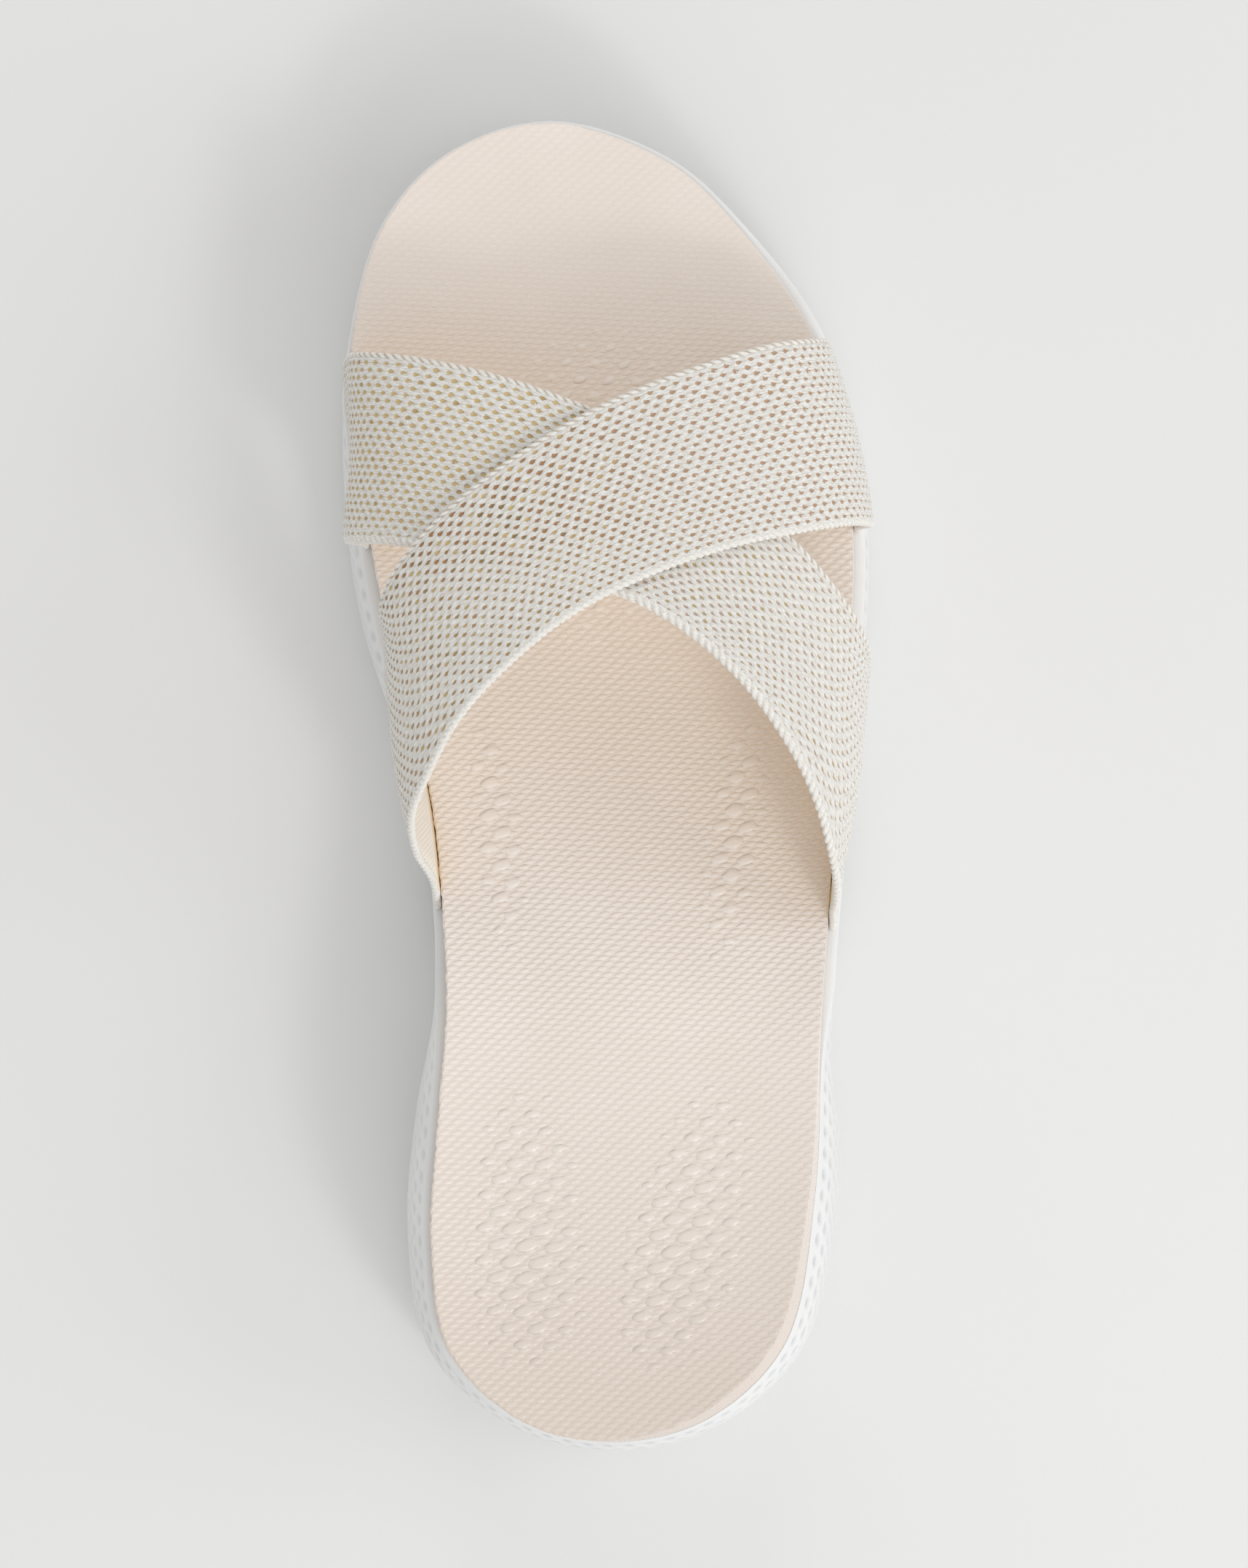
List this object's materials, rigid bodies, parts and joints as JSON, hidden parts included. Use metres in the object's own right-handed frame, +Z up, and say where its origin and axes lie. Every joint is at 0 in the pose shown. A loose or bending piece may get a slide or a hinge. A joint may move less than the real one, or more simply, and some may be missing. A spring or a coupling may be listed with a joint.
{
  "type": "mule sandal",
  "caption": "Backless mule sandal for a right foot: white moulded wedge sole, cream embossed footbed and two crossed knit straps in cream and gold",
  "frame": {"origin": "On the floor, under the middle of the sandal's box", "axes": "+Y from heel to toe, +X towards the little toe, +Z up"},
  "size_m": [0.1026, 0.2558, 0.0794],
  "materials": {
    "foam_sole": "white moulded foam, matte",
    "foam_footbed": "cream embossed foam, matte",
    "knit": "cream knit with gold thread"
  },
  "bodies": {
    "root": {"sole": "foam_sole", "footbed": "foam_footbed", "upper": "knit"}
  },
  "joints": []
}
